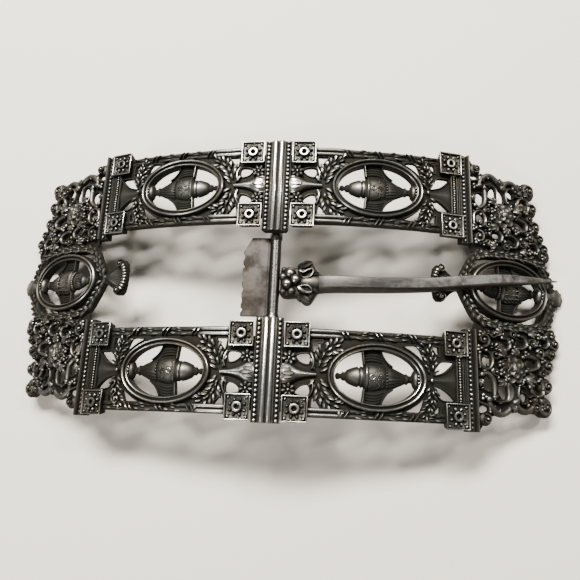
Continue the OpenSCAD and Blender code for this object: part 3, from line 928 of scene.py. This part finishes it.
cornerPlate = {
    "rosette": (46.6, 15.5, 2.6),
    # rings of cups in it: how many, how far out, size, height and lean
    "cups": [(7, 0.66, 0.38, -0.5, 0.2), (5, 0.34, 0.27, -0.1, 0.3)],
    "groundLow": -1.5,
    "groundTop": -1.0,
    "outline": [
        (38.9, 8.4), (41, 8.0), (45, 7.6), (50, 7.4), (55, 7.0), (57.4, 6.8), (57.2, 9.0), (55.8, 11.6),
        (54.6, 14.0), (54.0, 17.0), (53.8, 20.2), (53.8, 22.4), (51.6, 22.6), (48.6, 22.8), (46.4, 22.4),
        (43.8, 23.6), (41.2, 24.8), (38.9, 26.0)],
    # s, v, length, width and turn in degrees
    "gaps": [
        (40.4, 23.1, 2.3, 1.3, -20), (41.5, 18.4, 2.2, 2.8, 0), (45.4, 19.5, 3.9, 4.0, 0),
        (48.8, 20.6, 1.8, 1.6, -20), (52.2, 18.7, 1.6, 1.9, -20), (41.4, 14.3, 2.0, 2.0, 0),
        (50.8, 14.1, 2.6, 1.6, -10), (45.0, 11.1, 2.0, 1.2, 10), (48.7, 10.4, 1.9, 1.1, -10),
        (54.2, 9.5, 1.4, 1.0, 0)],
    # s, v, radius and the way it faces in degrees
    "lobes": [
        (40.6, 24.9, 1.3, 100), (46.3, 22.7, 0.9, 95), (51.0, 22.3, 1.3, 60), (53.4, 22.1, 2.1, 45),
        (54.0, 18.1, 1.7, 0), (54.5, 14.2, 1.8, 5), (55.6, 11.8, 1.4, 10), (56.5, 9.7, 1.7, 15)],
    # thick rolled bands: width, then places
    "bands": [
        (1.2, [(41.2, 21.3), (41.8, 22.9), (43.7, 23.9), (45.5, 23.0), (46.6, 21.6)]),
        (0.5, [(44.8, 17.3), (45.3, 19.4), (45.0, 21.2), (43.4, 21.7), (42.2, 21.3)]),
        (0.95, [(42.3, 20.9), (42.6, 19.2), (42.4, 17.6), (41.2, 16.5), (40.0, 16.8)]),
        (1.15, [(46.9, 21.4), (47.4, 22.6), (48.9, 23.2), (50.4, 22.4), (50.9, 21.0)]),
        (0.5, [(47.6, 18.4), (47.4, 20.3), (48.3, 21.7), (49.7, 21.2)]),
        (0.75, [(50.3, 17.3), (50.4, 19.0), (51.4, 20.2), (52.9, 19.7), (53.2, 18.1), (52.4, 16.9)]),
        (0.8, [(48.7, 13.0), (50.4, 12.7), (52.2, 13.2), (52.3, 14.6), (50.6, 15.3), (49.3, 15.6)]),
        (0.65, [(39.6, 12.8), (39.8, 15.0), (41.2, 15.8), (42.3, 14.6), (42.1, 13.0), (40.9, 12.3)]),
        (0.65, [(43.0, 11.9), (44.6, 12.2), (46.1, 11.2), (45.7, 9.9), (44.3, 9.7)]),
        (0.65, [(46.9, 11.2), (48.5, 11.4), (49.9, 10.5), (49.4, 9.2), (47.9, 8.9)]),
        (0.6, [(38.9, 21.8), (39.6, 22.0), (41.2, 22.6), (41.2, 23.6)]),
        (0.6, [(52.7, 10.4), (54.2, 10.7), (55.2, 9.6), (54.4, 8.5)])],
    # s, v, radius, start in degrees, turns and thickness
    "scrolls": [
        (42.8, 12.9, 1.0, 340, 1.1, 0.55), (52.7, 11.7, 1.2, 150, -1.1, 0.6), (40.6, 10.3, 1.3, 100, -1.2, 0.65),
        (46.8, 8.9, 0.8, 10, -1.2, 0.42), (51.2, 10.2, 1.0, 200, 1.1, 0.5), (42.6, 9.0, 0.8, 170, -1.1, 0.42),
        (42.8, 16.2, 0.75, 60, 1.1, 0.42), (53.0, 15.9, 0.85, 20, -1.1, 0.45), (50.6, 20.9, 0.9, 200, 1.1, 0.45)],
    # s, v, length and turn in degrees
    "leaves": [
        (49.0, 16.8, 2.6, 20), (44.6, 17.6, 2.0, 140), (45.0, 13.2, 2.2, 220), (47.2, 13.0, 1.9, 262),
        (51.8, 20.7, 1.6, 40), (51.0, 10.4, 1.8, -30), (50.2, 8.3, 2.0, 0), (44.4, 8.6, 1.8, 175),
        (39.6, 17.6, 1.6, 95), (46.2, 22.0, 1.6, 100)],
    "berries": [
        (43.9, 15.9), (43.8, 14.3), (44.8, 17.0), (40.0, 20.6), (50.0, 17.9), (53.2, 12.9), (39.9, 8.9),
        (49.4, 12.0), (52.4, 22.0), (52.6, 8.3), (56.0, 7.7), (46.6, 11.9), (39.5, 11.6)],
    "berryRadius": 0.38,
    "speckles": 120,
    "seed": 11,
    "inner": 38.9,  # where it meets the end rib of the side panel
    "stretch": 1.06,  # how much longer the back left and front right plates are
    "footPlace": (57, 8.6, -1.6),
    "footSize": {"radius1": 1.35, "radius2": 1.5, "depth": 2.0},
}


def addRosette(bm, s, v, radius):
    stamp(bm, bigBead, placeAt(s, v, -1.0, size=(radius * 0.85, radius * 0.85, 0.7)))
    for count, away, size, h, lean in cornerPlate["cups"]:
        for i in range(count):
            turn = (i + 0.4 * size) * tau / count
            cupSize = radius * size
            place = placeAt(*polar(s, v, radius * away, turn), h, turn, (cupSize * 1.1, cupSize, 0.75), lean)
            stamp(bm, cup, place)
    stamp(bm, dome, placeAt(s, v, 0.05, size=(0.75, 0.75, 0.55)))


def addLobe(bm, s, v, radius, facing):  # knob with a curl on it
    low, wide = casting["low"], radius * 0.92
    bmesh.ops.create_cone(bm, cap_ends=True, segments=20, radius1=wide, radius2=wide, depth=-1.0 - low,
                          matrix=placeAt(s, v, (low - 1.0) / 2))
    stamp(bm, bigBead, placeAt(s, v, -1.0, size=(radius * 0.97, radius * 0.97, 0.62)))
    scroll(bm, s, v, radius * 0.68, facing + 2.6, 1.15 if facing > 1 else -1.15, radius * 0.4, 0.0)


def addSpeckles(bm):  # small grains between the scrolls, clear of the gaps and inside the outline
    chance = random.Random(cornerPlate["seed"])
    placed = 0
    while placed < cornerPlate["speckles"]:
        s, v = chance.uniform(39.6, 56.6), chance.uniform(8.2, 24.4)
        free = all(hypot(s - g[0], v - g[1]) > 0.3 + max(g[2], g[3]) / 2 for g in cornerPlate["gaps"])
        if free and v < 24.6 - 0.28 * max(0, s - 40) ** 0.9 and s < 52.8 + 0.35 * max(0, 16 - v) ** 0.8:
            turn, size = chance.uniform(0, tau), chance.uniform(0.5, 1.1)
            leafAt(bm, s, v, chance.uniform(-0.85, -0.4), turn, size, size * 0.6, 0.5, 0, petal)
            placed += 1


def buildCorner(stretch=1.0):
    values = cornerPlate
    holes = [ellipse(*gap) for gap in values["gaps"]]
    outline = smoothRows(values["outline"], 3, closed=True)
    plate = cutPlate(outline, holes, values["groundLow"], values["groundTop"])
    cutAcross(plate, range(40, 58, 2))
    bm = bmesh.new()
    pour(plate, bm)
    for s, v, length, width, degrees in values["gaps"]:  # rolled edge round each gap
        rim = [(*p, 0.3, -0.7, -1.3) for p in ellipse(s, v, length + 0.28, width + 0.28, degrees)]
        sweep(bm, rim, oneRib, closed=True)
    addRosette(bm, *values["rosette"])
    for s, v, radius, degrees in values["lobes"]:
        addLobe(bm, s, v, radius, radians(degrees))
    for s, v, radius, degrees, turns, thick in values["scrolls"]:
        scroll(bm, s, v, radius, radians(degrees), turns, thick, -0.05)
    for width, path in values["bands"]:
        last = len(path) - 1
        rows = [(s, v, width * (1 - 0.4 * (i == 0 or i == last)), -0.15, -1.1) for i, (s, v) in enumerate(path)]
        sweep(bm, rows, ribbed(1, 0.4, 6), 4)
        for s, v in (path[0], path[-1]):
            beadAt(bm, s, v, -0.3, width * 0.5, width * 0.5, 0.42)
    for s, v, length, degrees in values["leaves"]:
        acanthus(bm, s, v, -0.4, radians(degrees), length)
    for s, v in values["berries"]:
        beadRow(bm, [(s, v), (s + 0.55, v + 0.36), (s - 0.1, v + 0.64)], values["berryRadius"], -0.3)
    addSpeckles(bm)
    for vert in bm.verts:
        vert.co.x = values["inner"] + (vert.co.x - values["inner"]) * stretch
    foot = bmesh.new()  # what the buckle stands on
    place = placeAt(*values["footPlace"])
    bmesh.ops.create_cone(foot, cap_ends=True, segments=28, matrix=place, **values["footSize"])
    softenEdges(foot, 1, 0.3, 3)
    pour(foot, bm)
    return bm


plain = finishPiece("cornerPlateBackRight", buildCorner())
mirroredPiece(plain, "cornerPlateFrontLeft", True, True)
stretched = finishPiece("cornerPlateFrontRight", mirrored(buildCorner(cornerPlate["stretch"]), False, True))
mirroredPiece(stretched, "cornerPlateBackLeft", True, True)
print("corner plates done")


# End panels: oval in a laurel wreath, scrolled finial towards the middle, knob at the tip

endPanel = {
    "ovalPlace": 47.3,
    # half of the wreath from its point to the knob: s, v and width
    "wreath": [(36.3, 0, 1.3), (38, 3.3, 1.4), (40.2, 6.2, 1.7), (43.6, 7.1, 1.9), (51.5, 7.2, 1.9), (56, 6, 2.3),
               (57.7, 2.9, 2.1), (58, 0, 2.0)],
    "leafLength": 1.5,
    "leafWidth": 0.7,
    # outline of half the finial, its flutes, the line of its rim and its curls
    "shell": [(36.8, 1.0), (35.4, 1.3), (34.3, 2.0), (33.4, 2.9), (32.5, 3.55), (31.6, 3.6), (31.0, 2.9),
              (30.75, 1.5)],
    "flutes": (36.3, 9, 0.52, 5.65),  # root, count, half angle and reach
    "shellRim": [(32.5, 3.3), (31.7, 3.25), (31.2, 2.6), (31.0, 1.4), (30.95, 0)],
    "curl": (32.2, 2.75, 0.8),  # s, v and radius
    "knobPlace": 59.3,
    "knobHeight": -0.85,
    "knob": [(-3.0, 0), (-3.0, 1.1), (-2.2, 0.9), (-1.2, 0.9), (-0.6, 1.0), (-0.4, 0)],
    "knobSize": (1.9, 1.95, 0.8),
}


def addFinial(bm):
    values = endPanel
    shell = cutPlate(bothSides(values["shell"]), [], -1.8, -1.2)
    roundOver(shell, ((0.1, 0.14), (0.2, 0.08)))
    pour(shell, bm)
    root, count, spread, reach = values["flutes"]
    for i in range(count):  # flutes that spread from the neck to a scalloped edge
        lean = (2 * i / (count - 1) - 1) * spread
        stamp(bm, petal, placeAt(root, -0.7 * lean, -1.0, pi - lean, (reach, 0.85, 0.6), 0.04))
        tip = polar(root, -0.7 * lean, reach * 0.96, pi - lean)
        stamp(bm, bead, placeAt(*tip, -0.45, -lean, (0.62, 0.38, 0.48)))
    half = values["shellRim"]
    rim = half + [(s, -v) for s, v in reversed(half[:-1])]
    sweep(bm, [(s, v, 0.34, -0.85, -1.5) for s, v in rim], oneRib, 5)


def buildEnd():
    values = endPanel
    bm = bmesh.new()
    addOval(bm, values["ovalPlace"], 0)
    addUrn(bm, values["ovalPlace"], 0, leafy=True)
    s0, v0, radius = values["curl"]
    for side in (-1, 1):
        rows = smoothRows([(s, side * v, width, -0.6, -1.9) for s, v, width in values["wreath"]], 6)
        sweep(bm, rows, ribbed(1, 0.6, 8))
        leafRows(bm, rows, 1.2, values["leafLength"], values["leafWidth"], -0.8, 0.3, 0.45, 0.5)
        scroll(bm, s0, side * v0, radius, side * 1.6, -side * 1.1, 0.42, 0.1)
    addFinial(bm)
    place = values["knobPlace"], 0, values["knobHeight"]
    turnedForm(bm, values["knob"], *place, 32, lower=0.6, rise=0.7)
    stamp(bm, dome, placeAt(*place, size=values["knobSize"]))
    return bm


endRight = finishPiece("endPanelRight", buildEnd())
mirroredPiece(endRight, "endPanelLeft", True, False)
print("end panels done")


# Tongue, bar and strap plate, which turn together on the pin

tongue = {
    "across": -1.45,  # it sits a little before the middle of the bar
    "bend": 4.3,
    "rootPlace": 7.6,
    "tipPlace": 57.8,
    "width": 3.1,
    # share of the way, share of the bend, share of the width, top and low
    "shank": [
        (0.025, 0, 1, -1.6, -3.9), (0.05, 0, 1, -1.15, -3.4), (0.09, -0.01, 0.96, -0.6, -2.9),
        (0.17, -0.03, 0.92, 0.2, -2.1), (0.29, -0.02, 0.88, 1.0, -1.0), (0.43, 0.07, 0.84, 1.9, 0.15),
        (0.57, 0.31, 0.8, 2.2, 0.6), (0.73, 0.6, 0.7, 2.3, 0.95), (0.86, 0.79, 0.45, 2.0, 0.95),
        (1, 1, 0.06, 1.4, 0.95)],
    "profile": [
        (-0.46, 0), (0.42, 0), (0.46, 0.07), (0.5, 0.86), (0.48, 0.94), (0.43, 1), (0.39, 1), (-0.2, 1),
        (-0.24, 0.99), (-0.27, 0.94), (-0.49, 0.3), (-0.5, 0.1)],
}


def buildShank():
    values = tongue
    bm = bmesh.new()
    rows = []
    for along, sideways, share, top, low in values["shank"]:
        s = values["rootPlace"] + along * (values["tipPlace"] - values["rootPlace"])
        rows.append((s, values["across"] + sideways * values["bend"], share * values["width"], top, low))
    sweep(bm, rows, values["profile"], 6)
    return bm


leafBoss = {  # places are from the boss's middle line; heights from the pin's axis
    "across": -1.0,
    "body": [(1.2, 2.1), (1.5, 2.8), (2.4, 3.05), (3.6, 2.95), (4.5, 3.0), (5.2, 3.6), (5.9, 4.2), (6.6, 4.3),
             (7.3, 3.8), (7.9, 2.8), (8.5, 1.9), (9.1, 1.5)],
    "bodyLow": -1.3,
    "bodyTop": -0.1,
    "rounding": [(0.08, 0.2), (0.12, 0.16), (0.22, 0.14), (0.35, 0.1)],  # width and rise of each ring
    # forward, width and rise
    "trunk": [(4.6, 1.4, 0.5), (5.5, 2.2, 0.85), (6.5, 2.8, 0.95), (7.5, 3.1, 0.9), (8.4, 3.1, 0.75),
              (9.3, 2.8, 0.55)],
    "trunkProfile": [(-0.5, 0), (0.5, 0), (0.5, 0.7), (0.42, 0.86), (0.25, 0.96), (0.08, 1), (-0.08, 1),
                     (-0.25, 0.96), (-0.42, 0.86), (-0.5, 0.7)],
    # rolled rims of the two upper leaves, behind and before the trunk: forward, across, width and rise
    "rims": [
        [(4.9, 2.0, 0.8, 1.5), (5.6, 1.75, 0.75, 1.55), (6.4, 2.2, 0.6, 1.4), (7.2, 2.5, 0.5, 1.25),
         (7.5, 2.0, 0.5, 1.2), (7.0, 1.05, 0.6, 1.25), (6.2, 0.85, 0.5, 1.1), (5.4, 0.95, 0.5, 1.0)],
        [(4.9, -1.2, 0.9, 1.45), (5.7, -0.75, 0.45, 1.15), (6.6, -0.8, 0.5, 1.25), (7.3, -1.5, 0.5, 1.2),
         (7.2, -2.0, 0.55, 1.1), (6.4, -2.1, 1.0, 1.35), (5.5, -1.75, 1.2, 1.5)]],
    # forward, across, radius and height
    "berries": [(3.1, 1.6, 1.15, 0.55), (4.15, 0.35, 1.0, 1.0), (2.6, -0.5, 1.1, 0.8), (3.4, -1.8, 1.0, 0.1),
                (1.8, 0.95, 0.85, 0.5), (1.8, -1.95, 0.8, 0.1), (1.9, 2.4, 0.6, 0.3)],
    # forward, across, turn, length, width, height and rise of each leaf
    "leaves": [(4.8, 2.7, 0.5, 2.9, 1.9, 1.0, 0.15), (4.6, 2.1, 1.1, 2.1, 1.4, 0.8, 0.15),
               (7.0, 1.35, 0.3, 1.7, 0.9, 0.6, 0.55)],
}


def buildBoss():
    values = leafBoss
    middle = values["across"]
    outline = [(x, middle + y) for x, y in bothSides(smoothRows(values["body"], 3))]
    bm = cutPlate(outline, [], axisHeight + values["bodyLow"], axisHeight + values["bodyTop"])
    roundOver(bm, values["rounding"])
    rows = [(x, middle, width, axisHeight + rise, axisHeight - 1.2) for x, width, rise in values["trunk"]]
    sweep(bm, rows, values["trunkProfile"], 4)
    for rim in values["rims"]:
        rows = [(x, middle + y, width, axisHeight + rise, axisHeight - 0.2) for x, y, width, rise in rim]
        sweep(bm, rows, oneRib, 4, closed=True)
    for x, y, radius, h in values["berries"]:
        stamp(bm, bigBead, placeAt(x, middle + y, axisHeight + h, size=(radius, radius, radius * 0.95)))
    for x, y, turn, length, width, height, h in values["leaves"]:
        for side in (-1, 1):
            place = x, middle + side * y, axisHeight + h
            leafAt(bm, *place, side * turn, length, width, height, -0.06, slitLeaf)
    return bm


barTube = [  # place along it and radius
    (-8.8, 0.66), (-8.8, 1.1), (-8.6, 1.2), (-7.6, 1.2), (-7.4, 1.06), (-7.2, 1.05), (7.2, 1.05),
    (7.4, 1.06), (7.6, 1.2), (8.6, 1.2), (8.8, 1.1), (8.8, 0.66), (-8.8, 0.66)]


def buildBar():
    bm = bmesh.new()
    turnedForm(bm, barTube, 0, 0, 0, 40, lower=1.0)
    quarterTurn(bm, "Z")
    bmesh.ops.translate(bm, vec=(0, 0, axisHeight), verts=bm.verts[:])
    return bm


strapPlate = {
    "reach": 6.2,
    "half": 7.85,
    "slant": 1.6,
    "slantEnd": 5.0,
    # middle of each notch in the worn edge, its length and its depth
    "notches": [(3.9, 1.4, 0.28), (2.0, 1.0, 0.34), (-0.4, 1.6, 0.2), (-2.6, 1.2, 0.3), (-4.8, 1.4, 0.18),
                (-6.6, 0.9, 0.35)],
    "thick": 0.6,
    "seamTop": 0.42,
}


def buildPlate():
    values = strapPlate
    reach, half, slant = values["reach"], values["half"], values["slant"]
    outline = [(-0.6, -half), (-0.6, half - 0.5), (-1.3, half), (slant - reach, half),
               (-reach, values["slantEnd"])]
    for y, length, deep in values["notches"]:
        for t in (0, 0.25, 0.5, 0.75, 1):
            outline.append((-reach + deep * sin(pi * t), y + length * (0.5 - t)))
    outline += [(-reach, -half)]
    bm = cutPlate(outline, [], axisHeight - values["thick"] / 2, axisHeight + values["thick"] / 2)
    flats = [f for f in bm.faces if abs(f.normal.z) > 0.9]
    bmesh.ops.dissolve_faces(bm, faces=flats, use_verts=False)
    softenEdges(bm, 1, 0.06, 2)
    flats = [f for f in bm.faces if abs(f.normal.z) > 0.99 and f.calc_area() > 4]
    bmesh.ops.inset_region(bm, faces=flats, thickness=0.05, use_even_offset=True)
    bar(bm, (-1.25, -half + 0.2), (-1.2, half - 0.9), 0.5, axisHeight + values["seamTop"], axisHeight)
    return bm


smoothSet = {"body": "tongue", "slot": "smooth_silver", "node": "tongue"}
finishPiece("tongueShank", buildShank(), material=smoothSilver, **smoothSet)
finishPiece("leafBoss", buildBoss(), material=leafSilver, bent=False, **smoothSet)
finishPiece("barTube", buildBar(), material=smoothSilver, bent=False, **smoothSet)
finishPiece("strapPlate", buildPlate(), material=plateSilver, bent=False, **smoothSet)
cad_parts["hinge_pin"].data.materials.clear()
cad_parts["hinge_pin"].data.materials.append(smoothSilver)
print("tongue done")


# Table, light and camera

studio = {
    "tableSize": 1.6,
    "tableColour": (0.895, 0.83, 0.715),
    "tableRoughness": 0.75,
    "world": (0.15, 0.15, 0.15),
    # place, size, power and colour of each soft light, all aimed at the buckle
    "lights": [
        ("windowLight", (-0.09, 0.27, 0.42), (0.26, 0.09), 7.4, (1.0, 0.985, 0.95)),
        ("lampLight", (0.28, 0.24, 0.42), (0.07, 0.07), 1.35, (1.0, 0.97, 0.92)),
        ("frontLight", (-0.25, -0.30, 0.40), (0.08, 0.08), 1.3, (1.0, 0.99, 0.96)),
    ],
}
camera = {
    "place": (0.013815, -0.028978, 0.11665),
    "turn": (-14.44, -5.75, -1.09),  # degrees about X, then Y, then Z, from the world to the view
    "lens": 34.73,
    "sensor": 36,
    "nearest": 0.005,
}


def makeTable():
    bm = bmesh.new()
    bmesh.ops.create_grid(bm, x_segments=2, y_segments=2, size=studio["tableSize"])
    table = addObject("table", meshOf("table", bm))
    material, shader, feed, add = startMaterial("tablePaint")
    feed(shader, "Base Color", (*studio["tableColour"], 1))
    feed(shader, "Roughness", studio["tableRoughness"])
    grain = add("TexNoise", {"Scale": 900.0, "Vector": add("TexCoord", {}).outputs["Object"]})
    bump = add("Bump", {"Strength": 0.05, "Distance": 0.0001, "Height": grain.outputs["Fac"]})
    feed(shader, "Normal", bump.outputs["Normal"])
    table.data.materials.append(material)


def makeLights():
    world = bpy.data.worlds.new("room")
    world.use_nodes = True
    world.node_tree.nodes["Background"].inputs["Color"].default_value = (*studio["world"], 1)
    bpy.context.scene.world = world
    for name, place, size, power, colour in studio["lights"]:
        data = bpy.data.lights.new(name, "AREA")
        data.shape = "RECTANGLE"
        data.size, data.size_y = size
        data.energy = power
        data.color = colour
        light = addObject(name, data)
        light.location = place
        light.rotation_euler = (-Vector(place)).to_track_quat("-Z", "Y").to_euler()


def makeCamera():
    data = bpy.data.cameras.new("camera")
    data.lens = camera["lens"]
    data.sensor_width = camera["sensor"]
    data.clip_start = camera["nearest"]
    view = addObject("camera", data)
    x, y, z = (Matrix.Rotation(radians(a), 3, axis) for a, axis in zip(camera["turn"], "XYZ"))
    view.matrix_world = Matrix.Translation(camera["place"]) @ (z @ y @ x).transposed().to_4x4()
    bpy.context.scene.camera = view


makeTable()
makeLights()
makeCamera()
print("studio ready")
